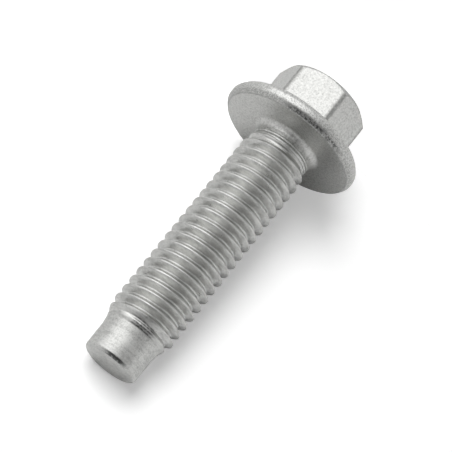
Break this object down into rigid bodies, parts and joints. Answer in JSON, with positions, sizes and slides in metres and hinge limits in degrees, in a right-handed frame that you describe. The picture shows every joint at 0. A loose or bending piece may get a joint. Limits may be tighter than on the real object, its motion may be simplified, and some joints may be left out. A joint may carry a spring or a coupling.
{
  "type": "flange bolt",
  "caption": "Metric hexagon flange bolt with a right-hand coarse thread, a short unthreaded neck under the flange and a plain guide point at the free end.",
  "frame": {"origin": "centre of the flange's bearing face, on the bolt's axis", "axes": "+Z along the shank towards the free end; the head is below z = 0 and stands on its flat top; one pair of hexagon flats faces +X and -X"},
  "size_m": [0.0168, 0.0168, 0.0394],
  "materials": {
    "zinc_steel": "matte silver zinc-flake coating over steel"
  },
  "bodies": {
    "root": {"flange_bolt": "zinc_steel"}
  },
  "joints": []
}
